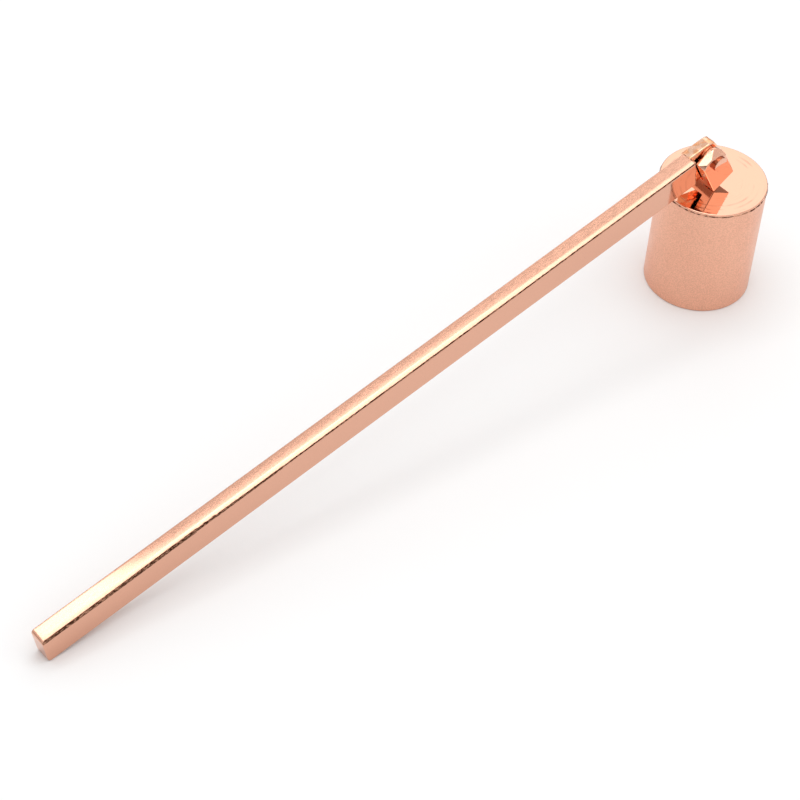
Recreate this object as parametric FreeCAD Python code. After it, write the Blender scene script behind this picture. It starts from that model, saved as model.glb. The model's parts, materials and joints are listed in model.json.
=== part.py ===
import FreeCAD, Part
import math
import os

# Candle snuffer: a bell-shaped cup on a long flat-bar handle.  All sizes are in millimetres.
#
# Frame: the origin is the centre of the cup's mouth, on the plane of its rim, and +Z is the cup's
# axis, from the mouth to the cap.  The handle runs towards -X.  The rest pose is the snuffer put
# down on a table: the cup stands on its rim and the handle's free end lies on the same surface.

# ---- cup ---------------------------------------------------------------------------------------
cup_radius = 14.0            # outside of the wall and of the cap
cup_height = 33.7            # rim to the top of the cap
cup_wall_thickness = 1.0
rim_round = 0.35             # outer edge of the rim
cap_flange = 0.7             # thickness of the cap where it sits on top of the wall
cap_edge_round = 0.25
seat_depth = 4.6             # counterbore at the top of the wall, which takes the cap's skirt
seat_wall = 0.5              # what is left of the wall round that counterbore
skirt_thickness = 1.5
skirt_gap = 0.02             # braze gap between the skirt and its seat
skirt_end_gap = 0.3

# ---- handle ------------------------------------------------------------------------------------
bar_width = 4.6              # across the flat bar, along Y
bar_depth = 8.1              # the tall side of the flat bar
bar_length = 203.8           # from the joint with the hinge eye to the free end
bar_edge_round = 0.3
bar_end_round = 0.9          # the free end is dressed rounder than the long edges
bar_joint_break = 0.25       # small edge break where the bar meets the eye

# ---- hinge eye, brazed to the bar's end on a round tenon ---------------------------------------
eye_to_pin = 6.8             # from the joint with the bar to the hinge pin
eye_below_pin = 6.4          # the eye is deeper than the bar and hangs lower under the pin
eye_front = 0.25             # the eye's front face lies this far in front of the bar's middle
eye_proud = 0.6              # and its back face stands this far behind the bar's back face
eye_edge_round = 0.4
eye_nose_facet = 3.5         # flat on the top of its round nose, measured from the pin
eye_nose_angle = 29.0        # degrees, how far that flat faces up from the bar's direction
tenon_radius = 1.1
tenon_length = 6.0
tenon_gap = 0.02             # braze gap round the tenon
tenon_end_gap = 0.3

# ---- knuckle -----------------------------------------------------------------------------------
knuckle_lean = 29.0          # degrees, its top leans towards the handle
knuckle_across = 7.5
knuckle_height = 11.8
knuckle_toe_x = -3.6         # its lowest edge, which just clears the cap
toe_clearance = 0.1
knuckle_front = 3.55         # its near face lies this far in front of the cup's axis
knuckle_back = 3.55          # and its foot reaches this far behind it
foot_height = 2.4            # height of the foot, up to the ledge of its half lap
knuckle_corner_round = 2.6   # the top corner away from the handle
knuckle_edge_break = 0.25
pin_across = 4.45             # pin, measured across the knuckle from its lowest edge
pin_up = 8.9                # pin, measured up the knuckle from its foot
facet_start = 2.8            # where the ground facet begins, along the knuckle's top
facet_drop = 3.1             # how far the facet runs down the far side of the near face
facet_back_drop = 0.5        # and how little of it is left at the back of the tine
corner_cut_down = 1.2        # small ground corner beside the handle
corner_cut_across = 1.5
corner_cut_back = 1.7

# ---- hinge pin and its washers -----------------------------------------------------------------
pin_radius = 1.5
pin_clearance = 0.05         # radial, between the pin and the eye that turns on it
pin_head_radius = 2.1
pin_head_height = 1.1
pin_head_round = 0.2
spacer_radius = 2.7
lap_gap = 0.6                # between the knuckle's tine and the handle's eye
lap_clearance = 0.05         # left free between the spacer and the eye
back_washer_radius = 2.9
back_washer_thickness = 0.5
pin_tail_radius = 2.0        # the end that is peened over the back washer
pin_tail_height = 0.7

# ---- swivel stem, under the cap ----------------------------------------------------------------
stem_radius = 1.5            # where it is fixed in the knuckle's foot
stem_journal_radius = 1.25   # where it turns in the cap, and its thread
journal_clearance = 0.05     # radial
stem_shoulder_clearance = 0.05
stem_tail = 0.4              # thread that shows past the nut
stem_washer_radius = 3.2
stem_washer_thickness = 0.4
stem_washer_clearance = 0.05
washer_bore_clearance = 0.05
nut_across_flats = 5.0
nut_thickness = 1.8
nut_chamfer = 0.35

os.makedirs("parts", exist_ok=True)

UP = FreeCAD.Vector(0, 0, 1)
ALONG_Y = FreeCAD.Vector(0, 1, 0)
AXIS_ORIGIN = FreeCAD.Vector(0, 0, 0)
REACH = 60.0                 # longer than anything that a cutting block has to pass through


def export(name, shape):
    """Write one node as a STEP file."""
    if not shape.isValid():
        raise ValueError(name + " is not a valid solid")
    shape.exportStep("parts/" + name + ".step")
    print(name, "volume", round(shape.Volume, 2), "solids", len(shape.Solids))


def rod(radius, length, start, direction=UP):
    return Part.makeCylinder(radius, length, start, direction)


def tube(outer, inner, length, start, direction=UP):
    return rod(outer, length, start, direction).cut(rod(inner, length, start, direction))


def block(low, high):
    """A box between two opposite corners."""
    size = FreeCAD.Vector(*high) - FreeCAD.Vector(*low)
    return Part.makeBox(size.x, size.y, size.z, FreeCAD.Vector(*low))


def beyond_plane(p, q, r, outside):
    """A large block on the outer side of the plane through three points."""
    p, q, r = (FreeCAD.Vector(*point) for point in (p, q, r))
    normal = (q - p).cross(r - p)
    normal.normalize()
    if normal.dot(FreeCAD.Vector(*outside) - p) < 0:
        normal = normal * -1
    slab = Part.makeBox(2 * REACH, 2 * REACH, REACH, FreeCAD.Vector(-REACH, -REACH, 0))
    slab.Placement = FreeCAD.Placement(p, FreeCAD.Rotation(UP, normal))
    return slab


def edges_along(shape, direction, test=None):
    """Straight edges parallel to a direction, kept where test(middle point) is true."""
    found = []
    for edge in shape.Edges:
        if not isinstance(edge.Curve, Part.Line):
            continue
        run = edge.Vertexes[-1].Point - edge.Vertexes[0].Point
        if run.cross(direction).Length > 1e-6 * run.Length:
            continue
        middle = edge.CenterOfMass
        if test is None or test(middle):
            found.append(edge)
    return found


def circles_at(shape, z, radius):
    """Round edges of one radius at one height."""
    found = []
    for edge in shape.Edges:
        if not isinstance(edge.Curve, Part.Circle):
            continue
        if abs(edge.Curve.Center.z - z) < 1e-6 and abs(edge.Curve.Radius - radius) < 1e-6:
            found.append(edge)
    return found


# ---- where the hinge is ------------------------------------------------------------------------
toe_z = cup_height + toe_clearance
lean = math.radians(knuckle_lean)
pin_x = knuckle_toe_x + pin_across * math.cos(lean) - pin_up * math.sin(lean)
pin_z = toe_z + pin_across * math.sin(lean) + pin_up * math.cos(lean)
knuckle_place = FreeCAD.Placement(
    FreeCAD.Vector(knuckle_toe_x, 0, toe_z),
    FreeCAD.Rotation(ALONG_Y, -knuckle_lean),
)

# The handle slopes down until the round of its lower end corner meets the plane z = 0.
pin_to_end = eye_to_pin + bar_length
round_out = pin_to_end - bar_end_round
round_down = bar_depth / 2 - bar_end_round
handle_slope = (math.asin((pin_z - bar_end_round) / math.hypot(round_out, round_down))
                - math.atan2(round_down, round_out))
handle_place = FreeCAD.Placement(
    FreeCAD.Vector(pin_x, 0, pin_z),
    FreeCAD.Rotation(ALONG_Y, -math.degrees(handle_slope)),
)

eye_front_y = -eye_front
eye_back_y = bar_width / 2 + eye_proud
tine_back = eye_front_y - lap_gap


def make_cup_wall():
    """Tube with a counterbored seat at its top; its rim is the face that the snuffer stands on."""
    top = cup_height - cap_flange
    bore = cup_radius - cup_wall_thickness
    outer = rod(cup_radius, top, AXIS_ORIGIN)
    outer = outer.makeFillet(rim_round, circles_at(outer, 0, cup_radius))
    wall = outer.cut(rod(bore, top, AXIS_ORIGIN))
    seat = rod(cup_radius - seat_wall, seat_depth, FreeCAD.Vector(0, 0, top - seat_depth))
    return wall.cut(seat)


def make_cup_cap():
    """Polished disc with a skirt that drops into the wall's seat, bored for the swivel stem."""
    under = cup_height - cap_flange
    skirt_outer = cup_radius - seat_wall - skirt_gap
    skirt_length = seat_depth - skirt_end_gap
    flange = rod(cup_radius, cap_flange, FreeCAD.Vector(0, 0, under))
    flange = flange.makeFillet(cap_edge_round, circles_at(flange, cup_height, cup_radius))
    skirt = tube(skirt_outer, skirt_outer - skirt_thickness, skirt_length,
                 FreeCAD.Vector(0, 0, under - skirt_length))
    hole = rod(stem_journal_radius + journal_clearance, cap_flange, FreeCAD.Vector(0, 0, under))
    return flange.fuse(skirt).cut(hole).removeSplitter()


def ledge_plane_block():
    """Everything above the knuckle's ledge, in place: it trims the stem's top."""
    above = block((-REACH, -REACH, foot_height), (REACH, REACH, REACH))
    above.Placement = knuckle_place
    return above


def make_stem():
    """Turned stem: fixed in the knuckle's foot, a journal in the cap, and a thread below it."""
    shoulder_z = cup_height + stem_shoulder_clearance
    thread_end = (cup_height - cap_flange - stem_washer_clearance - stem_washer_thickness
                  - nut_thickness - stem_tail)
    upper = rod(stem_radius, REACH / 2, FreeCAD.Vector(0, 0, shoulder_z))
    upper = upper.cut(ledge_plane_block())
    lower = rod(stem_journal_radius, shoulder_z - thread_end, FreeCAD.Vector(0, 0, thread_end))
    lower = lower.makeChamfer(nut_chamfer, circles_at(lower, thread_end, stem_journal_radius))
    return upper.fuse(lower).removeSplitter()


def make_stem_washer():
    top = cup_height - cap_flange - stem_washer_clearance
    return tube(stem_washer_radius, stem_journal_radius + washer_bore_clearance,
                stem_washer_thickness, FreeCAD.Vector(0, 0, top - stem_washer_thickness))


def make_stem_nut():
    """Hexagon nut, its corners chamfered on the lower face."""
    top = cup_height - cap_flange - stem_washer_clearance - stem_washer_thickness
    low = top - nut_thickness
    corner = nut_across_flats / math.sqrt(3)
    points = []
    for i in range(7):
        turn = math.radians(60 * i)
        points.append(FreeCAD.Vector(corner * math.cos(turn), corner * math.sin(turn), low))
    nut = Part.Face(Part.makePolygon(points)).extrude(UP * nut_thickness)
    cone = Part.makeCone(corner - nut_chamfer, corner - nut_chamfer + nut_thickness, nut_thickness,
                         FreeCAD.Vector(0, 0, low), UP)
    nut = nut.common(cone)
    return nut.cut(rod(stem_journal_radius, nut_thickness, FreeCAD.Vector(0, 0, low)))


def make_knuckle():
    """Leaning block: a full-thickness foot, and a front tine that the handle's eye laps."""
    left_top = FreeCAD.Vector(0, -knuckle_front, knuckle_height)
    left_foot = FreeCAD.Vector(0, -knuckle_front, 0)
    right_foot = FreeCAD.Vector(knuckle_across, -knuckle_front, 0)
    right_top = FreeCAD.Vector(knuckle_across, -knuckle_front, knuckle_height)
    outline = Part.makePolygon([left_foot, right_foot, right_top, left_top, left_foot])
    tine = Part.Face(outline).extrude(ALONG_Y * (knuckle_front + tine_back))

    def top_far_corner(middle):
        return middle.x > knuckle_across - 1e-6 and middle.z > knuckle_height - 1e-6

    tine = tine.makeFillet(knuckle_corner_round, edges_along(tine, ALONG_Y, top_far_corner))
    foot = block((0, -knuckle_front, 0), (knuckle_across, knuckle_back, foot_height))
    body = tine.fuse(foot).removeSplitter()

    def upright_or_back(middle):
        return middle.y > knuckle_back - 1e-6 or abs(middle.y + knuckle_front) < 1e-6

    body = body.makeChamfer(knuckle_edge_break, edges_along(body, UP, upright_or_back))

    # The ground facet: it takes more off the side away from the handle.
    facet = beyond_plane(
        (facet_start, -knuckle_front, knuckle_height),
        (knuckle_across, -knuckle_front, knuckle_height - facet_drop),
        (knuckle_across, tine_back, knuckle_height - facet_back_drop),
        (knuckle_across, -knuckle_front, knuckle_height),
    )
    corner = beyond_plane(
        (0, -knuckle_front, knuckle_height - corner_cut_down),
        (corner_cut_across, -knuckle_front, knuckle_height),
        (0, -knuckle_front + corner_cut_back, knuckle_height),
        (0, -knuckle_front, knuckle_height),
    )
    body = body.cut(facet).cut(corner)
    body.Placement = knuckle_place
    pin_hole = rod(pin_radius, knuckle_front + tine_back,
                   FreeCAD.Vector(pin_x, -knuckle_front, pin_z), ALONG_Y)
    return body.cut(pin_hole).cut(make_stem())


def make_hinge_pin():
    """Headed pin, pressed in the tine and peened over a washer behind the eye."""
    head_y = -knuckle_front - pin_head_height
    tail_y = eye_back_y + lap_clearance + back_washer_thickness
    head = rod(pin_head_radius, pin_head_height, FreeCAD.Vector(pin_x, head_y, pin_z), ALONG_Y)
    outer_edge = [edge for edge in head.Edges
                  if isinstance(edge.Curve, Part.Circle) and abs(edge.Curve.Center.y - head_y) < 1e-6]
    head = head.makeFillet(pin_head_round, outer_edge)
    shank = rod(pin_radius, tail_y + pin_tail_height - head_y,
                FreeCAD.Vector(pin_x, head_y, pin_z), ALONG_Y)
    tail = Part.makeCone(pin_tail_radius, pin_radius, pin_tail_height,
                         FreeCAD.Vector(pin_x, tail_y, pin_z), ALONG_Y)
    return head.fuse([shank, tail]).removeSplitter()


def make_hinge_spacer():
    """Thin washer that keeps the two laps apart; it stays against the knuckle's tine."""
    return tube(spacer_radius, pin_radius, lap_gap - lap_clearance,
                FreeCAD.Vector(pin_x, tine_back, pin_z), ALONG_Y)


def make_back_washer():
    return tube(back_washer_radius, pin_radius, back_washer_thickness,
                FreeCAD.Vector(pin_x, eye_back_y + lap_clearance, pin_z), ALONG_Y)


def rounded_outline(edge, y_values):
    """True for an edge that lies wholly in one of the planes y = value."""
    points = [vertex.Point for vertex in edge.Vertexes]
    return any(all(abs(point.y - y) < 1e-6 for point in points) for y in y_values)


def make_tenon(radius, length):
    """The tenon, or the hole for it, in the handle's own frame, where the pin is the origin."""
    middle_y = (eye_front_y + bar_width / 2) / 2
    return rod(radius, length, FreeCAD.Vector(-eye_to_pin, middle_y, 0), FreeCAD.Vector(-1, 0, 0))


def make_handle_bar():
    """Flat bar, square where it meets the eye and dressed round at its free end."""
    half = bar_depth / 2
    near = -bar_width / 2
    bar = block((-pin_to_end, near, -half), (-eye_to_pin, -near, half))

    def free_end(middle):
        return middle.x < -pin_to_end + 1e-6

    bar = bar.makeFillet(bar_end_round, edges_along(bar, ALONG_Y, free_end))
    long_edges = [edge for edge in bar.Edges if rounded_outline(edge, (near, -near))
                  and edge.CenterOfMass.x < -eye_to_pin - 1e-6]
    bar = bar.makeFillet(bar_edge_round, long_edges)
    joint_edges = [edge for edge in bar.Edges
                   if all(abs(vertex.Point.x + eye_to_pin) < 1e-6 for vertex in edge.Vertexes)]
    bar = bar.makeChamfer(bar_joint_break, joint_edges)
    bar = bar.cut(make_tenon(tenon_radius + tenon_gap, tenon_length + tenon_end_gap))
    bar.Placement = handle_place
    return bar


def make_hinge_eye():
    """Plate with a round nose and a tenon that goes into the bar's end.  It is flush with the
    bar on top and hangs lower than the bar underneath."""
    half = bar_depth / 2
    nose_radius = (half + eye_below_pin) / 2
    joint_top = FreeCAD.Vector(-eye_to_pin, eye_front_y, half)
    joint_low = FreeCAD.Vector(-eye_to_pin, eye_front_y, -eye_below_pin)
    pin_top = FreeCAD.Vector(0, eye_front_y, half)
    pin_low = FreeCAD.Vector(0, eye_front_y, -eye_below_pin)
    nose_tip = FreeCAD.Vector(nose_radius, eye_front_y, half - nose_radius)
    nose = Part.Arc(pin_low, nose_tip, pin_top).toShape()
    wire = Part.Wire([
        Part.makeLine(joint_top, joint_low),
        Part.makeLine(joint_low, pin_low),
        nose,
        Part.makeLine(pin_top, joint_top),
    ])
    eye = Part.Face(wire).extrude(ALONG_Y * (eye_back_y - eye_front_y))
    tilt = math.radians(eye_nose_angle)
    out = FreeCAD.Vector(math.cos(tilt), 0, math.sin(tilt))
    along = FreeCAD.Vector(-math.sin(tilt), 0, math.cos(tilt))
    on_facet = out * eye_nose_facet
    eye = eye.cut(beyond_plane(on_facet, on_facet + along, on_facet + ALONG_Y, out * REACH))
    face_edges = [edge for edge in eye.Edges if rounded_outline(edge, (eye_front_y, eye_back_y))
                  and edge.CenterOfMass.x > -eye_to_pin + 1e-6]
    eye = eye.makeFillet(eye_edge_round, face_edges)
    eye = eye.fuse(make_tenon(tenon_radius, tenon_length))
    depth = eye_back_y - eye_front_y
    hole = rod(pin_radius + pin_clearance, depth, FreeCAD.Vector(0, eye_front_y, 0), ALONG_Y)
    eye = eye.cut(hole)
    eye.Placement = handle_place
    return eye


export("cup_wall", make_cup_wall())
export("cup_cap", make_cup_cap())
export("knuckle", make_knuckle())
export("swivel_stem", make_stem())
export("stem_washer", make_stem_washer())
export("stem_nut", make_stem_nut())
export("hinge_pin", make_hinge_pin())
export("hinge_spacer", make_hinge_spacer())
export("back_washer", make_back_washer())
export("hinge_eye", make_hinge_eye())
export("handle_bar", make_handle_bar())

print("pin at", round(pin_x, 3), round(pin_z, 3), "slope", round(math.degrees(handle_slope), 3))
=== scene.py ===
import json
import math

import bmesh
import bpy
from mathutils import Matrix, Vector, noise


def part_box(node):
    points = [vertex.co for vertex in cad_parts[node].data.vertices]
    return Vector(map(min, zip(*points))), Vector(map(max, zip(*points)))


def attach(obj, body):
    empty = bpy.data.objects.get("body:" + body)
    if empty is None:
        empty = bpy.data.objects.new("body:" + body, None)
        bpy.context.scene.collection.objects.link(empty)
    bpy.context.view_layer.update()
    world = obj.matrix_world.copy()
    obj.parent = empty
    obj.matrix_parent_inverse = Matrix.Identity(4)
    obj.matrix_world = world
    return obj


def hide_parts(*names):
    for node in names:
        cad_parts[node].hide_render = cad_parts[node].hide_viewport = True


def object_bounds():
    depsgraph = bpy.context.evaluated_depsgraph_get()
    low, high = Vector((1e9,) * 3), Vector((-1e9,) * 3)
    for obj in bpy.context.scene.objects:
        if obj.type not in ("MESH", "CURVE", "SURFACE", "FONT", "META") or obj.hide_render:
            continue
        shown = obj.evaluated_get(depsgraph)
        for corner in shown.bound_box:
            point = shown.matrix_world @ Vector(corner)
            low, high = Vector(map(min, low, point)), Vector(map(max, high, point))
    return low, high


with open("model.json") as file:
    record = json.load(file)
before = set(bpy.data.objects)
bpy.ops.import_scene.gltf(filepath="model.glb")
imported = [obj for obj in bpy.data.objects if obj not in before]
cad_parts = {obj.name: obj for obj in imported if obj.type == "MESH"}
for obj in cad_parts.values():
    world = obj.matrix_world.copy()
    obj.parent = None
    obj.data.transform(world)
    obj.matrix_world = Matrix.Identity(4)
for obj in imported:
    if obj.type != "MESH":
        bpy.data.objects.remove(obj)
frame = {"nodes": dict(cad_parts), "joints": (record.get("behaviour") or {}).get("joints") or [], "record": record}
cad_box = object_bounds()
MM = 0.001
print("nodes:", sorted(frame["nodes"]))
print("model box in mm:", [[round(v / MM, 1) for v in corner] for corner in cad_box])

# %% [markdown]
# ## Camera
# A small hand tool is usually shown from the front and well above, with a long lens, so that its
# straight edges stay nearly parallel.  The camera could be turned by hand until the view looks
# right.  Here it is placed from four readable numbers (azimuth, elevation, roll and distance), so
# that each of them can be changed alone.
# %% Place the camera
VIEW_AZIMUTH = math.radians(-43.42)
VIEW_ELEVATION = math.radians(45.72)
VIEW_ROLL = math.radians(4.38)
VIEW_DISTANCE = 0.6119
AIM_OFFSET = Vector((-6.4, -0.2, -6.0)) * MM     # from the middle of the object's box

middle = (cad_box[0] + cad_box[1]) / 2
aim = middle + AIM_OFFSET
towards_camera = Vector((
    math.sin(VIEW_AZIMUTH) * math.cos(VIEW_ELEVATION),
    -math.cos(VIEW_AZIMUTH) * math.cos(VIEW_ELEVATION),
    math.sin(VIEW_ELEVATION),
))
camera_data = bpy.data.cameras.new("camera")
camera_data.lens = 113.8
camera_data.sensor_width = 36.0
camera_data.clip_start = 0.01
camera = bpy.data.objects.new("camera", camera_data)
bpy.context.scene.collection.objects.link(camera)
turn = towards_camera.to_track_quat("Z", "Y").to_matrix().to_4x4()
place = Matrix.Translation(aim + towards_camera * VIEW_DISTANCE)
camera.matrix_world = place @ turn @ Matrix.Rotation(VIEW_ROLL, 4, "Z")
bpy.context.scene.camera = camera
print("camera at", [round(v, 4) for v in camera.matrix_world.translation])

# %% [markdown]
# ## Floor and studio light
# Polished metal shows what stands round it, so the light is laid out as a set of reflections: a
# large softbox overhead, a strip behind that draws the streak along the bar, panels on the right
# for the cap and the hinge, and a dim band at the height of the horizon, where a real studio has
# its dark walls.  One sun lamp would light the floor as well, but the metal would then have nothing
# to reflect and would look black.
# %% Floor
FLOOR_DROP = 0.05 * MM      # the floor stays this far under the rim, so that the two don't flicker
FLOOR_HALF = 6.0


def new_object(name, mesh):
    """Links a mesh to the scene as an object at the origin."""
    piece = bpy.data.objects.new(name, mesh)
    bpy.context.scene.collection.objects.link(piece)
    return piece


def mesh_from(bm, name):
    """Turns a finished bmesh into a mesh."""
    mesh = bpy.data.meshes.new(name)
    bm.to_mesh(mesh)
    bm.free()
    return mesh


bm = bmesh.new()
bmesh.ops.create_grid(bm, x_segments=1, y_segments=1, size=FLOOR_HALF)
bmesh.ops.translate(bm, verts=bm.verts, vec=(0, 0, cad_box[0].z - FLOOR_DROP))
floor = new_object("floor", mesh_from(bm, "floor"))
paper = bpy.data.materials.new("pale_paper")
paper.use_nodes = True
paper_shader = paper.node_tree.nodes["Principled BSDF"]
paper_shader.inputs["Base Color"].default_value = (0.92, 0.92, 0.92, 1)
paper_shader.inputs["Roughness"].default_value = 0.95
floor.data.materials.append(paper)
print("floor at z =", round(floor.data.vertices[0].co.z / MM, 2), "mm")

# %% Softboxes
def softbox(name, azimuth, elevation, distance, width, height, power):
    """A rectangular lamp that faces the object from a compass direction round +X."""
    data = bpy.data.lights.new(name, "AREA")
    data.shape = "RECTANGLE"
    data.size = width
    data.size_y = height
    data.energy = power
    lamp = bpy.data.objects.new(name, data)
    bpy.context.scene.collection.objects.link(lamp)
    a, e = math.radians(azimuth), math.radians(elevation)
    out = Vector((math.cos(a) * math.cos(e), math.sin(a) * math.cos(e), math.sin(e)))
    facing = out.to_track_quat("Z", "Y").to_matrix().to_4x4()
    lamp.matrix_world = Matrix.Translation(middle + out * distance) @ facing


softbox("overhead_softbox", 90, 90, 1.3, 1.30, 1.30, 7.0)
softbox("bar_streak_strip", 82, 66, 1.3, 0.46, 0.20, 0.42)
softbox("knuckle_kicker", 115, 58, 1.3, 0.20, 0.20, 0.25)
softbox("back_right_panel", 38, 40, 1.4, 1.3, 0.40, 1.05)
softbox("front_right_panel", -38, 41, 1.4, 1.0, 0.40, 0.60)
softbox("window_strip", -36, 27, 1.4, 0.6, 0.14, 0.22)

# %% Room round the table
ROOM_LIGHT = 0.95           # walls and ceiling, above the dim band
ROOM_DIM = 0.15             # the dim band at the horizon
BACKDROP = 1.00             # what the camera itself sees past the floor

world = bpy.data.worlds.new("studio")
bpy.context.scene.world = world
world.use_nodes = True
room = world.node_tree
room.nodes.clear()
direction = room.nodes.new("ShaderNodeTexCoord")
split = room.nodes.new("ShaderNodeSeparateXYZ")
rise = room.nodes.new("ShaderNodeMapRange")
rise.interpolation_type = "SMOOTHSTEP"
rise.inputs["From Min"].default_value = 0.05
rise.inputs["From Max"].default_value = 0.36
rise.inputs["To Min"].default_value = ROOM_DIM
rise.inputs["To Max"].default_value = ROOM_LIGHT
seen = room.nodes.new("ShaderNodeLightPath")
choose = room.nodes.new("ShaderNodeMix")
choose.inputs["B"].default_value = BACKDROP
glow = room.nodes.new("ShaderNodeBackground")
out = room.nodes.new("ShaderNodeOutputWorld")
room.links.new(direction.outputs["Generated"], split.inputs[0])
room.links.new(split.outputs["Z"], rise.inputs["Value"])
room.links.new(seen.outputs["Is Camera Ray"], choose.inputs["Factor"])
room.links.new(rise.outputs["Result"], choose.inputs["A"])
room.links.new(choose.outputs["Result"], glow.inputs["Strength"])
room.links.new(glow.outputs[0], out.inputs["Surface"])
bpy.context.scene.view_settings.view_transform = "Standard"
print("room light", ROOM_LIGHT, "with a band of", ROOM_DIM)

# %% [markdown]
# ## Rose-gold plating
# The whole tool is copper-rich rose gold over metal, and all of its pieces share one colour.  What
# differs from piece to piece is the surface under the plating: mirror polish, satin, or ground.
# Each finish is a function that starts from the same helper, so the colour is written once.  Metal
# has no surface colour beside its reflection, so the base colour here is the tint of what it
# reflects, and two reflections in a row come out a deep orange by themselves.
# Some finishes also darken this colour as painted shade: the bar's sides, its front edge, the bore and the side of
# the pin's head.
# %% Helpers for finishes
ROSE_GOLD = (0.90, 0.49, 0.345)


class Finish:
    """A metal finish that is being wired up: its node tree, its shader and its coordinates."""

    def __init__(self, name, roughness):
        self.material = bpy.data.materials.new(name)
        self.material.use_nodes = True
        self.tree = self.material.node_tree
        self.shader = self.tree.nodes["Principled BSDF"]
        self.shader.inputs["Metallic"].default_value = 1.0
        self.shader.inputs["Roughness"].default_value = roughness
        self.place = self.add("TexCoord").outputs["Object"]

    def add(self, kind, **inputs):
        """A shader node, with its inputs set from values or linked from sockets."""
        node = self.tree.nodes.new("ShaderNode" + kind)
        for key, value in inputs.items():
            self.feed(node.inputs[key], value)
        return node

    def feed(self, socket, value):
        if isinstance(value, bpy.types.NodeSocket):
            self.tree.links.new(value, socket)
        else:
            socket.default_value = value

    def math(self, operation, a, b=0.0):
        node = self.add("Math")
        node.operation = operation
        self.feed(node.inputs[0], a)
        self.feed(node.inputs[1], b)
        return node.outputs[0]

    def noise(self, vector, scale, detail=2.0):
        """Noise from 0 to 1, with its scale in features per metre."""
        return self.add("TexNoise", Vector=vector, Scale=scale, Detail=detail).outputs[0]

    def between(self, value, low, high, to_low, to_high):
        """Stretches a value from one range to another, with soft ends."""
        node = self.add("MapRange", Value=value)
        node.interpolation_type = "SMOOTHSTEP"
        ends = {"From Min": low, "From Max": high, "To Min": to_low, "To Max": to_high}
        for key, number in ends.items():
            self.feed(node.inputs[key], number)
        return node.outputs[0]

    def colours(self, share, first, second):
        """A colour between two, by a share from 0 to 1, on the shader's base colour."""
        node = self.add("Mix")
        node.data_type = "RGBA"
        self.feed(node.inputs["Factor"], share)
        node.inputs[6].default_value = (*first, 1)
        node.inputs[7].default_value = (*second, 1)
        self.feed(self.shader.inputs["Base Color"], node.outputs[2])

    def relief(self, height, depth):
        """Bump from a height of 0 to 1, over a real depth in metres."""
        bump = self.add("Bump", Height=height, Distance=depth)
        self.feed(self.shader.inputs["Normal"], bump.outputs[0])


def shade(colour, amount):
    """The same metal, darker or lighter."""
    return tuple(channel * amount for channel in colour)


print("rose gold:", ROSE_GOLD)

# %% [markdown]
# ## Polished cap
# The cap is buffed while it spins, so whatever marks are left lie on circles about its centre.  A
# ring pattern could be painted with sine waves, but equal rings look like a record.  Noise read
# along the radius gives rings of uneven width, and a second, patchy noise lets them show only here
# and there, as real buffing marks do.
# %% Cap finish
def radius_of(finish):
    """Distance from the cup's axis, read from Object coordinates."""
    flat = finish.add("VectorMath")
    flat.operation = "MULTIPLY"
    finish.feed(flat.inputs[0], finish.place)
    flat.inputs[1].default_value = (1, 1, 0)
    length = finish.add("VectorMath")
    length.operation = "LENGTH"
    finish.feed(length.inputs[0], flat.outputs[0])
    return length.outputs["Value"]


def noise_along(finish, value, scale):
    """Noise that changes only with one value, such as the radius."""
    node = finish.add("TexNoise")
    node.noise_dimensions = "1D"
    finish.feed(node.inputs["W"], value)
    node.inputs["Scale"].default_value = scale
    node.inputs["Detail"].default_value = 3.0
    return node.outputs[0]


def cap_finish():
    f = Finish("mirror_rose_gold", 0.05)
    radius = radius_of(f)
    lines = f.between(noise_along(f, radius, 1300), 0.50, 0.66, 0.0, 1.0)
    outer_band = f.between(radius, 5.5 * MM, 8.0 * MM, 0.0, 1.0)
    patches = f.between(f.noise(f.place, 110), 0.48, 0.62, 0.0, 1.0)
    marks = f.math("MULTIPLY", lines, f.math("MULTIPLY", patches, outer_band))
    f.relief(marks, 0.010 * MM)
    f.feed(f.shader.inputs["Roughness"], f.between(marks, 0.0, 1.0, 0.045, 0.12))
    f.colours(marks, shade(ROSE_GOLD, 1.04), shade(ROSE_GOLD, 0.86))
    return f.material


MIRROR = cap_finish()
print("made", MIRROR.name)

# %% [markdown]
# ## Satin cup wall
# The wall is bead-blasted before plating.  Under a glass it is a field of tiny dimples, and from
# arm's length it only blurs the reflection and softens the shading.  Roughness does the blur, and
# a fine bump breaks it up so that the metal keeps some sparkle.  The bore is left as it was drawn:
# duller, with faint rings round it, and its colour is darker than the wall's, a painted shade for
# the inside of the cup.
# %% Cup wall finishes
def satin_finish():
    f = Finish("satin_rose_gold", 0.36)
    dimples = f.noise(f.place, 2900, 3.0)
    cloud = f.noise(f.place, 150)
    f.relief(dimples, 0.010 * MM)
    f.feed(f.shader.inputs["Roughness"], f.between(cloud, 0.3, 0.7, 0.33, 0.42))
    f.colours(f.between(dimples, 0.35, 0.65, 0.0, 1.0),
              shade(ROSE_GOLD, 0.84), shade(ROSE_GOLD, 0.99))
    return f.material


def bore_painted_shade_finish():
    f = Finish("drawn_bore_painted_shade", 0.45)
    height = f.add("SeparateXYZ", Vector=f.place).outputs["Z"]
    rings = noise_along(f, height, 3000)
    f.relief(rings, 0.012 * MM)
    f.feed(f.shader.inputs["Roughness"], f.between(rings, 0.3, 0.7, 0.35, 0.55))
    # Painted shade: the bore's colour is darker than the wall's, for the shade inside the cup.
    f.colours(f.noise(f.place, 220), shade(ROSE_GOLD, 0.62), shade(ROSE_GOLD, 0.80))
    return f.material


SATIN = satin_finish()
BORE_PAINTED_SHADE = bore_painted_shade_finish()
print("made", SATIN.name, BORE_PAINTED_SHADE.name)

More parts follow.
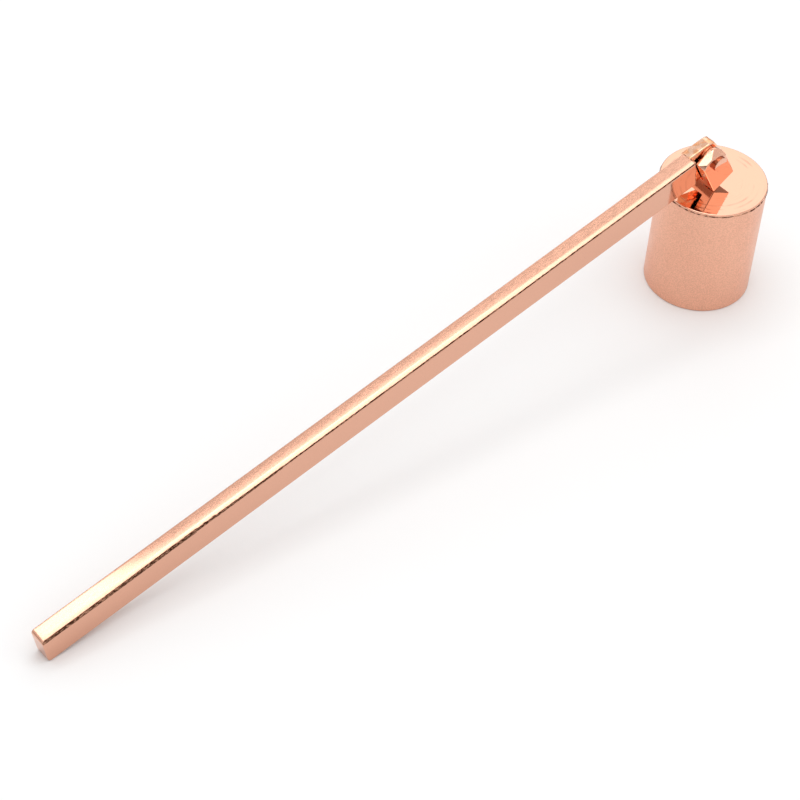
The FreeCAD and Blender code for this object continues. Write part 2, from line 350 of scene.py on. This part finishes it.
# %% [markdown]
# ## Bright hinge parts
# The knuckle and the eye are filed, tumbled and plated bright.  Their faces are nearly mirrors, but
# tumbling leaves them a little uneven, like the skin of an orange, which is what makes the edges of
# a reflection wander.  That is a very shallow bump at a few tenths of a millimetre.
# %% Hinge finish
def hinge_finish():
    f = Finish("bright_rose_gold", 0.06)
    peel = f.noise(f.place, 700)
    grain = f.noise(f.place, 5200)
    f.relief(f.math("ADD", peel, f.math("MULTIPLY", grain, 0.12)), 0.006 * MM)
    f.feed(f.shader.inputs["Roughness"], f.between(grain, 0.3, 0.7, 0.05, 0.12))
    f.colours(peel, shade(ROSE_GOLD, 0.98), shade(ROSE_GOLD, 1.03))
    return f.material


def eye_finish():
    """The eye is brazed to the bar, so the plating over it is uneven and warmer in patches."""
    f = Finish("brazed_rose_gold", 0.10)
    lumps = f.noise(f.place, 700, 1.0)
    patches = f.noise(f.place, 480, 2.0)
    f.relief(lumps, 0.050 * MM)
    f.feed(f.shader.inputs["Roughness"], f.between(lumps, 0.3, 0.7, 0.07, 0.16))
    f.colours(f.between(patches, 0.40, 0.60, 0.0, 1.0), (0.98, 0.47, 0.25), (0.98, 0.62, 0.44))
    return f.material


BRIGHT = hinge_finish()
BRAZED = eye_finish()
print("made", BRIGHT.name, BRAZED.name)

# %% [markdown]
# ## Ground bar
# The bar's broad sides are linished until they are nearly a mirror, with fine scratches along them,
# and their colour is darker than the top's, a painted shade.  Its narrow top was dressed by hand on
# a belt, so the plating there is duller and speckled, and the flat that was filed along its front
# edge is coloured nearly black, a painted shade for the dark line along it.  All of these patterns
# run along the bar, so their coordinates are turned with the bar's slope and are stretched along it:
# one unit of the pattern is one mark long and one mark wide.
# %% Where the bar lies
hinge = next(joint for joint in frame["joints"] if joint["name"] == "handle_hinge")
swivel = next(joint for joint in frame["joints"] if joint["name"] == "head_swivel")
PIN = Vector(hinge["pos_m"])
CAP_TOP = swivel["pos_m"][2]
JOIN = 0.0005 * MM          # corners nearer than this are the same corner


def merged_copy(node):
    """A bmesh of a CAD node, with its loose triangles joined into whole faces."""
    bm = bmesh.new()
    bm.from_mesh(frame["nodes"][node].data)
    bmesh.ops.remove_doubles(bm, verts=bm.verts, dist=JOIN)
    bmesh.ops.dissolve_limit(bm, angle_limit=math.radians(0.5), use_dissolve_boundaries=False,
                             verts=bm.verts, edges=bm.edges)
    return bm


cad_bar = merged_copy("handle_bar")
longest = max(cad_bar.edges, key=lambda edge: edge.calc_length())
run = longest.verts[1].co - longest.verts[0].co
SLOPE = math.atan2(abs(run.z), abs(run.x))
HANDLE_PLACE = Matrix.Translation(PIN) @ Matrix.Rotation(-SLOPE, 4, "Y")
bmesh.ops.transform(cad_bar, matrix=HANDLE_PLACE.inverted(), verts=cad_bar.verts)
bar_low = Vector([min(v.co[i] for v in cad_bar.verts) for i in range(3)])
bar_high = Vector([max(v.co[i] for v in cad_bar.verts) for i in range(3)])
cad_bar.free()
print("slope", round(math.degrees(SLOPE), 2), "deg, bar in its own frame, mm:",
      [round(v / MM, 2) for v in bar_low], [round(v / MM, 2) for v in bar_high])


# %% Bar finishes
def along_bar(finish, length, width):
    """Coordinates in the bar's own frame, in units of a mark that is so long and so wide."""
    turned = finish.add("Mapping", Vector=finish.place)
    turned.vector_type = "TEXTURE"
    turned.inputs["Location"].default_value = PIN
    turned.inputs["Rotation"].default_value = (0, -SLOPE, 0)
    turned.inputs["Scale"].default_value = (length, width, width)
    return turned.outputs[0]


def bar_side_painted_shade_finish():
    f = Finish("linished_bar_side_painted_shade", 0.07)
    scratches = f.noise(along_bar(f, 3.0 * MM, 0.10 * MM), 1.0, 3.0)
    dust = f.noise(f.place, 3600, 2.0)
    f.relief(f.math("ADD", scratches, dust), 0.0008 * MM)
    f.feed(f.shader.inputs["Roughness"], f.between(scratches, 0.3, 0.7, 0.05, 0.10))
    # Painted shade: the sides are coloured darker than the top, and the dust noise varies this at random.
    f.colours(dust, shade(ROSE_GOLD, 0.78), shade(ROSE_GOLD, 0.87))
    return f.material


def bar_top_finish():
    f = Finish("belt_ground_bar_top", 0.18)
    speckle = f.noise(along_bar(f, 0.30 * MM, 0.18 * MM), 1.0, 2.0)
    patches = f.noise(along_bar(f, 1.6 * MM, 0.55 * MM), 1.0, 2.0)
    f.relief(speckle, 0.004 * MM)
    f.feed(f.shader.inputs["Roughness"], f.between(patches, 0.3, 0.7, 0.18, 0.22))
    both = f.math("ADD", speckle, f.math("MULTIPLY", patches, 0.2))
    f.colours(f.between(both, 0.42, 0.78, 0.0, 1.0),
              shade(ROSE_GOLD, 0.86), shade(ROSE_GOLD, 1.06))
    return f.material


def edge_painted_shade_finish():
    """The narrow flat along the front edge, coloured nearly black in specks: a painted shade for the dark line
    along the edge.
    """
    f = Finish("painted_shade_bar_edge", 0.35)
    specks = f.noise(along_bar(f, 0.9 * MM, 0.25 * MM), 1.0, 3.0)
    f.relief(specks, 0.02 * MM)
    f.feed(f.shader.inputs["Roughness"], f.between(specks, 0.3, 0.7, 0.25, 0.50))
    # Painted shade: the edge is coloured from nearly black to dark brown for the dark line along it.
    f.colours(f.between(specks, 0.42, 0.66, 0.0, 1.0), (0.11, 0.045, 0.025), (0.60, 0.31, 0.20))
    return f.material


BAR_SIDE_PAINTED_SHADE = bar_side_painted_shade_finish()
BAR_TOP = bar_top_finish()
BAR_EDGE_PAINTED_SHADE = edge_painted_shade_finish()
print("made", BAR_SIDE_PAINTED_SHADE.name, BAR_TOP.name, BAR_EDGE_PAINTED_SHADE.name)

# %% [markdown]
# ## Turned fixings and braze
# The pin, its washers, the stem and the nut are small turned brass parts with a thin plating.  A
# lathe leaves rings on them, which show as a fine texture at right angles to their axis.  The side
# of the pin's head is coloured a dark red, a painted shade for the shadowed side of the head, and
# the braze that fills a joint is darker, because flux has stained it.
# %% Fixing finishes
def fixing_finish(name, axis, dulling, gloss, colour=ROSE_GOLD):
    """Turned metal, with lathe rings along one axis of the object."""
    f = Finish(name, gloss)
    along = f.add("SeparateXYZ", Vector=f.place).outputs[axis]
    rings = noise_along(f, along, 5000)
    grain = f.noise(f.place, 2600)
    f.relief(f.math("ADD", rings, grain), 0.004 * MM)
    f.feed(f.shader.inputs["Roughness"], f.between(grain, 0.3, 0.7, gloss * 0.6, gloss * 1.4))
    f.colours(grain, shade(colour, dulling), colour)
    return f.material


def braze_finish():
    f = Finish("stained_braze", 0.42)
    stain = f.noise(f.place, 900, 3.0)
    f.relief(f.noise(f.place, 3000), 0.02 * MM)
    f.feed(f.shader.inputs["Roughness"], f.between(stain, 0.3, 0.7, 0.30, 0.60))
    f.colours(f.between(stain, 0.40, 0.62, 0.0, 1.0), (0.10, 0.035, 0.02), (0.75, 0.42, 0.28))
    return f.material


PIN_METAL = fixing_finish("turned_pin", "Y", 0.94, 0.07)
# Painted shade: the side of the pin's head is coloured dark red for the shadow it sits in.
PIN_RIM_PAINTED_SHADE = fixing_finish("painted_shade_rim", "Y", 0.70, 0.20, (0.50, 0.13, 0.06))
STEM_METAL = fixing_finish("turned_stem", "Z", 0.80, 0.20)
BRAZE = braze_finish()
print("made", PIN_METAL.name, PIN_RIM_PAINTED_SHADE.name, STEM_METAL.name, BRAZE.name)

# %% [markdown]
# ## Cup wall
# The wall is a tube with a counterbore at its top, turned on a lathe.  It could be a cylinder with
# its inside cut out, but a spun outline gives the wall, the bore, the counterbore and the rounded
# rim in one piece, as the lathe does.  Bevels then break the ring-shaped edges.
# %% Lathe helper
RING_STEPS = 192


def lathe(outline, breaks=(), steps=RING_STEPS):
    """Spins a closed outline of (radius, height) points about Z, then rounds the named rings."""
    bm = bmesh.new()
    points = [bm.verts.new((radius, 0, height)) for radius, height in outline]
    lines = [bm.edges.new(pair) for pair in zip(points, points[1:] + points[:1])]
    bmesh.ops.spin(bm, geom=points + lines, cent=(0, 0, 0), axis=(0, 0, 1),
                   angle=math.tau, steps=steps, use_merge=True)
    bmesh.ops.remove_doubles(bm, verts=bm.verts, dist=JOIN)
    on_the_axis = [edge for edge in bm.edges if not edge.link_faces]      # these make no face
    bmesh.ops.delete(bm, geom=on_the_axis, context="EDGES")
    bmesh.ops.recalc_face_normals(bm, faces=bm.faces)
    for radius, height, size in breaks:
        ring = [edge for edge in bm.edges
                if all(abs(v.co.xy.length - radius) < JOIN and abs(v.co.z - height) < JOIN
                       for v in edge.verts)]
        bmesh.ops.bevel(bm, geom=ring, offset=size, offset_type="OFFSET", affect="EDGES",
                        segments=5, profile=0.5, material=-1)
    return bm


def finished(bm, name, body, node, materials, sharp=30):
    """Makes the object, shades it, hangs it on its body's empty and hides the model's node that it replaces.

    Smooth shading would bend the reflection over a whole flat face towards its rounded edge, so
    the normals are weighted by area and each large face keeps its own.
    """
    mesh = mesh_from(bm, name)
    mesh.shade_smooth()
    mesh.set_sharp_from_angle(angle=math.radians(sharp))
    for material in materials:
        mesh.materials.append(material)
    piece = new_object(name, mesh)
    weigh = piece.modifiers.new("flat_faces_stay_flat", "WEIGHTED_NORMAL")
    weigh.keep_sharp = True
    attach(piece, body)
    if node:
        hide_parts(node)
    print(name, len(mesh.vertices), "corners", len(mesh.polygons), "faces")


# %% Cup wall
mouth = next(mount for mount in frame["record"]["mounts"] if mount["name"] == "cup_mouth")
CUP_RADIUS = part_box("cup_wall")[1].x
BORE_RADIUS = mouth["dims"]["r_mm"] * MM
WALL_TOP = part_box("cup_wall")[1].z
SKIRT_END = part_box("cup_cap")[0].z
SEAT_WALL = 0.5 * MM        # what the counterbore leaves of the wall
SEAT_GAP = 0.3 * MM         # between the cap's skirt and the counterbore's floor
RIM_ROUND = 0.35 * MM
MOUTH_BREAK = 0.15 * MM
WALL_TOP_BREAK = 0.08 * MM

seat_radius = CUP_RADIUS - SEAT_WALL
seat_floor = SKIRT_END - SEAT_GAP
bm = lathe(
    [(BORE_RADIUS, 0), (CUP_RADIUS, 0), (CUP_RADIUS, WALL_TOP), (seat_radius, WALL_TOP),
     (seat_radius, seat_floor), (BORE_RADIUS, seat_floor)],
    [(CUP_RADIUS, 0, RIM_ROUND), (BORE_RADIUS, 0, MOUTH_BREAK),
     (CUP_RADIUS, WALL_TOP, WALL_TOP_BREAK)],
)
# Faces that look inward get the bore's finish, with its painted shade.
for face in bm.faces:
    middle_of_face = face.calc_center_median()
    inward = face.normal.xy.dot(middle_of_face.xy) < -0.5 * middle_of_face.xy.length
    face.material_index = 1 if inward else 0
finished(bm, "cup_body", "cup", "cup_wall", [SATIN, BORE_PAINTED_SHADE])

# %% [markdown]
# ## Cap and its seam
# The cap is a thick disc with a skirt that drops into the wall, and it is brazed there.  Round its
# edge runs a bright rounded lip, and under the lip is the seam: a hairline of braze that stands
# proud in some places and is sunk in others.  A ring of even thickness would look drawn on, so the
# bead's thickness follows noise read round the circle.
# %% Cap
SEAT_CLEARANCE = 0.02 * MM
SKIRT_WALL = 1.5 * MM
HOLE_RADIUS = 1.3 * MM      # the stem turns in it
LIP_ROUND = 0.30 * MM
UNDER_LIP_BREAK = 0.10 * MM
SKIRT_BREAK = 0.2 * MM
HOLE_BREAK = 0.1 * MM

skirt_outer = seat_radius - SEAT_CLEARANCE
skirt_inner = skirt_outer - SKIRT_WALL
bm = lathe(
    [(HOLE_RADIUS, WALL_TOP), (skirt_inner, WALL_TOP), (skirt_inner, SKIRT_END),
     (skirt_outer, SKIRT_END), (skirt_outer, WALL_TOP), (CUP_RADIUS, WALL_TOP),
     (CUP_RADIUS, CAP_TOP), (HOLE_RADIUS, CAP_TOP)],
    [(CUP_RADIUS, CAP_TOP, LIP_ROUND), (CUP_RADIUS, WALL_TOP, UNDER_LIP_BREAK),
     (skirt_inner, SKIRT_END, SKIRT_BREAK), (HOLE_RADIUS, CAP_TOP, HOLE_BREAK)],
)
finished(bm, "cap_disc", "cup", "cup_cap", [MIRROR])

# %% Braze bead round the seam
BEAD_RADIUS = 0.18 * MM
BEAD_INSET = 0.03 * MM
BEAD_SIDES = 8
BEAD_STEPS = 720
SWELL = 0.14 * MM           # how much the bead's radius wanders, and over what length
SWELL_LENGTH = 0.9 * MM
DROP = 0.05 * MM            # how much it wanders up and down
DROP_LENGTH = 2.2 * MM
OTHER_NOISE = Vector((7, 3, 5))     # far enough off for the two not to rise together

bead = []
for i in range(BEAD_SIDES):
    angle = math.tau * i / BEAD_SIDES
    bead.append((CUP_RADIUS - BEAD_INSET + BEAD_RADIUS * math.cos(angle),
                 WALL_TOP + BEAD_RADIUS * math.sin(angle)))
bm = lathe(bead, steps=BEAD_STEPS)
for vertex in bm.verts:
    swell = SWELL * noise.noise(vertex.co / SWELL_LENGTH)
    drop = DROP * noise.noise(vertex.co / DROP_LENGTH + OTHER_NOISE)
    out = vertex.co.xy.normalized()
    vertex.co += Vector((out.x * swell, out.y * swell, drop))
finished(bm, "seam_bead", "cup", None, [BRAZE], sharp=60)

# %% [markdown]
# ## Knuckle and eye
# Both are machined blocks, and the model already holds their exact shape.  What it lacks is the
# soft edge that filing and tumbling leave, and a sharp edge on polished metal looks false because
# it catches no light.  So the model's shape is copied, its triangles are joined into whole faces,
# and only the sharp edges get a narrow bevel.
# %% Soft-edged copies
def soft_copy(node, size, angle=20):
    """A copy of a CAD node whose sharp outer edges are rounded."""
    bm = merged_copy(node)
    sharp = [edge for edge in bm.edges
             if edge.is_manifold and edge.calc_face_angle_signed() > math.radians(angle)]
    bmesh.ops.bevel(bm, geom=sharp, offset=size, offset_type="OFFSET", affect="EDGES",
                    segments=3, profile=0.5, material=-1, clamp_overlap=True)
    return bm


KNUCKLE_BREAK = 0.10 * MM
EYE_BREAK = 0.20 * MM
EYE_ANGLE = 35              # on the eye only edges sharper than this, in degrees, are rounded

finished(soft_copy("knuckle", KNUCKLE_BREAK), "knuckle_block", "swivel", "knuckle",
         [BRIGHT])
finished(soft_copy("hinge_eye", EYE_BREAK, EYE_ANGLE), "eye_plate", "handle", "hinge_eye",
         [BRAZED])

# %% [markdown]
# ## Handle bar
# The bar is a flat strip, rounded at its free end, with its top dressed by hand.  A beveled box
# gives the strip.  The dressing is what makes it look real: the top is tilted at the free end,
# crowned along the middle and flat near the cup.  A steep narrow flat is filed along the front
# edge, and the plating has built up on it in small beads.  All of these are moves of well under a
# millimetre, made by formula on a fine grid of cuts, because polished metal shows even small
# slopes.  A line of braze closes the joint between the bar and the eye.
# %% Bar blank
ROW_SPACING = 0.30 * MM
TOP_COLUMNS = 10
FLAT_ROOM = 0.75 * MM       # two more cuts each way near the front edge, for the flat filed there
FLAT_ROOM_NEAR = FLAT_ROOM * 0.7
END_ROUND = 0.9 * MM
EDGE_ROUND = 0.3 * MM

bar_size = bar_high - bar_low
bar_middle = (bar_low + bar_high) / 2
bm = bmesh.new()
bmesh.ops.create_cube(bm, size=1)
bmesh.ops.scale(bm, vec=bar_size, verts=bm.verts)
bmesh.ops.translate(bm, vec=bar_middle, verts=bm.verts)


def edges_where(bm, test):
    """Edges whose two ends both pass a test."""
    return [edge for edge in bm.edges if all(test(v.co) for v in edge.verts)]


def round_edges(bm, edges, size, segments):
    bmesh.ops.bevel(bm, geom=edges, offset=size, offset_type="OFFSET", affect="EDGES",
                    segments=segments, profile=0.5, material=-1)


free_end = [edge for edge in edges_where(bm, lambda co: co.x < bar_low.x + JOIN)
            if abs(edge.verts[0].co.z - edge.verts[1].co.z) < JOIN]
round_edges(bm, free_end, END_ROUND, 6)
for side in (bar_low.y, bar_high.y):
    outline = [edge for edge in edges_where(bm, lambda co: abs(co.y - side) < JOIN)
               if min(v.co.x for v in edge.verts) < bar_high.x - JOIN]
    round_edges(bm, outline, EDGE_ROUND, 6)
print("bar blank:", len(bm.faces), "faces")

# %% Cuts for the dressing
def slice_across(bm, axis, start, end, count):
    """Evenly spaced cuts at right angles to one axis."""
    normal = Vector([1.0 if i == axis else 0.0 for i in range(3)])
    for i in range(count + 1):
        place = normal * (start + (end - start) * i / count)
        bmesh.ops.bisect_plane(bm, geom=bm.verts[:] + bm.edges[:] + bm.faces[:], dist=JOIN,
                               plane_co=place, plane_no=normal)


slice_across(bm, 1, bar_low.y + EDGE_ROUND, bar_high.y - EDGE_ROUND, TOP_COLUMNS)
slice_across(bm, 1, bar_low.y + FLAT_ROOM_NEAR, bar_low.y + FLAT_ROOM, 1)
slice_across(bm, 2, bar_high.z - FLAT_ROOM, bar_high.z - FLAT_ROOM_NEAR, 1)
long_edges = [edge for edge in bm.edges if edge.calc_length() > bar_size.x / 2]
bmesh.ops.subdivide_edges(bm, edges=long_edges, cuts=round(bar_size.x / ROW_SPACING),
                          use_grid_fill=True)
print("bar with cuts:", len(bm.faces), "faces")

# %% Dressed top
TOP_TILT = math.tan(math.radians(5.0))      # the free end's top leans this much to the front
CROWN = 0.0135 / MM                         # how fast the crowned stretch falls off sideways
CROWN_BACK = 0.4 * MM                       # the crown's ridge lies this far behind the middle
TILTED = (12 * MM, 42 * MM)                 # the tilt fades out between these, from the free end
CROWNED = (120 * MM, 170 * MM)              # and so does the crown
WORN_STRIP = 1.0 * MM                       # the top's front edge is rubbed down over this width
WORN_SLOPE = math.tan(math.radians(9.0))
FLAT_IN = 0.26 * MM                         # the front edge is filed to a steep narrow flat,
FLAT_DOWN = 0.36 * MM                       # this far in over the top and down the side,
FLAT_GROWS = 0.9                            # and so much wider again at the free end
BEADS = 0.09 * MM                           # height of the plating beads on the front edge
BEAD_LENGTH = 0.9 * MM
BEAD_WIDTH = 0.6 * MM
BEADED = (0.3 * MM, 0.8 * MM)               # they fade out this far from the edge
BEADS_FADE = (20 * MM, 110 * MM)            # and are lower between these, from the free end
FLAT_WIDENS = (30 * MM, 75 * MM)            # the flat narrows to its usual width between these
FLAT_SPREAD = math.radians(24)              # faces turned less than this from the flat get the edge's painted shade
TOP_FACES = 0.75                            # faces that point up more than this are ground


def fade(value, start, end):
    """1 before start, 0 after end, and a smooth step between."""
    t = min(1.0, max(0.0, (value - start) / (end - start)))
    return 1.0 - t * t * (3.0 - 2.0 * t)


def on_the_flat(co):
    """Moves a corner that stands proud of the filed flat back onto it."""
    wider = 1.0 + FLAT_GROWS * fade(co.x - bar_low.x, *FLAT_WIDENS)
    flat_in = FLAT_IN * wider
    flat_down = FLAT_DOWN * wider
    proud = 1.0 - (co.y - bar_low.y) / flat_in - (bar_high.z - co.z) / flat_down
    across_flat = Vector((0, 1 / flat_in, -1 / flat_down))
    return co + across_flat * (max(0.0, proud) / across_flat.length_squared)


for vertex in bm.verts:
    co = vertex.co
    co[:] = on_the_flat(co)
    from_end = co.x - bar_low.x
    tilted = fade(from_end, *TILTED)
    crowned = fade(from_end, *CROWNED) * (1.0 - tilted)
    up_share = max(0.0, (co.z - bar_middle.z) / (bar_size.z / 2)) ** 2
    across = co.y - bar_middle.y
    drop = tilted * TOP_TILT * (bar_size.y / 2 - across)
    drop += crowned * CROWN * (across - CROWN_BACK) ** 2
    drop += WORN_SLOPE * max(0.0, bar_low.y + WORN_STRIP - co.y)
    co.z -= up_share * drop
    on_front_edge = (fade(abs(co.y - bar_low.y), *BEADED)
                     * fade(abs(co.z - bar_high.z), *BEADED))
    beads = noise.noise(Vector((co.x / BEAD_LENGTH, co.y / BEAD_WIDTH, co.z / BEAD_WIDTH)))
    strength = 0.25 + 0.75 * fade(from_end, *BEADS_FADE)
    co += Vector((0, -1, 1)) * (BEADS * strength * on_front_edge * beads)

bm.normal_update()
flat_normal = Vector((0, -1 / FLAT_IN, 1 / FLAT_DOWN)).normalized()
# The sides keep index 0, the side finish with its painted shade; faces on the filed flat get the edge's painted
# shade.
for face in bm.faces:
    if face.normal.angle(flat_normal) < FLAT_SPREAD:
        face.material_index = 2          # the edge, coloured dark as painted shade
    elif face.normal.z > TOP_FACES:
        face.material_index = 1          # the ground top
bmesh.ops.transform(bm, matrix=HANDLE_PLACE, verts=bm.verts)
bmesh.ops.recalc_face_normals(bm, faces=bm.faces)
finished(bm, "bar_body", "handle", "handle_bar", [BAR_SIDE_PAINTED_SHADE, BAR_TOP, BAR_EDGE_PAINTED_SHADE],
         sharp=40)

# %% Braze line between the bar and the eye
BRAZE_LENGTH = 0.24 * MM
BRAZE_PROUD = 0.03 * MM     # above and below the bar
BRAZE_INSET = 0.1 * MM      # in from the bar's two sides
BRAZE_ROUND = 0.2 * MM

bm = bmesh.new()
bmesh.ops.create_cube(bm, size=1)
braze_size = Vector((BRAZE_LENGTH, bar_size.y - 2 * BRAZE_INSET, bar_size.z + 2 * BRAZE_PROUD))
braze_middle = Vector((bar_high.x + BRAZE_LENGTH / 2, bar_middle.y, bar_middle.z))
bmesh.ops.scale(bm, vec=braze_size, verts=bm.verts)
bmesh.ops.translate(bm, vec=braze_middle, verts=bm.verts)
corners = [edge for edge in bm.edges if edge.calc_length() < 2 * BRAZE_LENGTH]
round_edges(bm, corners, BRAZE_ROUND, 4)
bmesh.ops.transform(bm, matrix=HANDLE_PLACE, verts=bm.verts)
finished(bm, "braze_line", "handle", None, [BRAZE], sharp=60)

# %% [markdown]
# ## Pin and washers
# The hinge pin is a turned rivet: a flat head at the front, a shank through both laps, and a tail
# hammered over a washer at the back.  Each is spun about Z, as the cup is, and is then laid along
# the hinge's axis.
# %% Pin
def laid_on_hinge(bm):
    """Turns a lathe piece's axis from Z to the hinge's, with its start at the hinge's own zero."""
    lay_down = Matrix.Rotation(math.radians(-90), 4, "X")
    bmesh.ops.transform(bm, matrix=Matrix.Translation(PIN) @ lay_down, verts=bm.verts)
    return bm


PIN_RADIUS = 1.5 * MM
HEAD_HEIGHT = 1.1 * MM
TAIL_RADIUS = 2.0 * MM
TAIL_HEIGHT = 0.7 * MM
TAIL_CROWN = 0.15 * MM      # the hammered end rises this much from its edge to its middle
HEAD_BREAK = 0.18 * MM
HEAD_BACK_BREAK = 0.06 * MM
TAIL_BREAK = 0.3 * MM
WASHER_BREAK = 0.08 * MM
PIN_STEPS = 96
SIDEWAYS = 0.7              # a face that looks along the axis less than this is a side
pin_low, pin_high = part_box("hinge_pin")
head_radius = (pin_high.x - pin_low.x) / 2
head_back = pin_low.y + HEAD_HEIGHT
tail_start = pin_high.y - TAIL_HEIGHT
tail_edge = (TAIL_RADIUS * 0.8, pin_high.y - TAIL_CROWN)
bm = lathe(
    [(0, pin_low.y), (head_radius, pin_low.y), (head_radius, head_back), (PIN_RADIUS, head_back),
     (PIN_RADIUS, tail_start), (TAIL_RADIUS, tail_start), tail_edge,
     (TAIL_RADIUS * 0.35, pin_high.y), (0, pin_high.y)],
    [(head_radius, pin_low.y, HEAD_BREAK), (head_radius, head_back, HEAD_BACK_BREAK),
     (*tail_edge, TAIL_BREAK)],
    steps=PIN_STEPS,
)
# Faces on the side of the head get the dark red painted shade.
for face in bm.faces:
    if face.calc_center_median().z < head_back and abs(face.normal.z) < SIDEWAYS:
        face.material_index = 1          # the side of the head
finished(laid_on_hinge(bm), "pin_rivet", "swivel", "hinge_pin", [PIN_METAL, PIN_RIM_PAINTED_SHADE])


# %% Washers
def washer(name, node):
    """A flat ring on the pin's shank, with its edges just broken."""
    low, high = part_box(node)
    outer = (high.x - low.x) / 2
    ring = [(PIN_RADIUS, low.y), (outer, low.y), (outer, high.y), (PIN_RADIUS, high.y)]
    breaks = [(outer, low.y, WASHER_BREAK), (outer, high.y, WASHER_BREAK)]
    bm = lathe(ring, breaks, steps=PIN_STEPS)
    finished(laid_on_hinge(bm), name, "swivel", node, [PIN_METAL])


washer("lap_washer", "hinge_spacer")
washer("rivet_washer", "back_washer")

# %% [markdown]
# ## Under the cap
# Inside the cup the stem comes through the cap and is held by a washer and a nut.  Nobody sees them
# until the snuffer is turned over, so the model's own shapes do, with soft edges.
# %% Stem, washer and nut
STEM_BREAK = 0.06 * MM
NUT_WASHER_BREAK = 0.05 * MM
NUT_BREAK = 0.08 * MM

for node, name, size in (("swivel_stem", "stem_post", STEM_BREAK),
                         ("stem_washer", "nut_washer", NUT_WASHER_BREAK),
                         ("stem_nut", "hexagon_nut", NUT_BREAK)):
    finished(soft_copy(node, size), name, "swivel", node, [STEM_METAL])
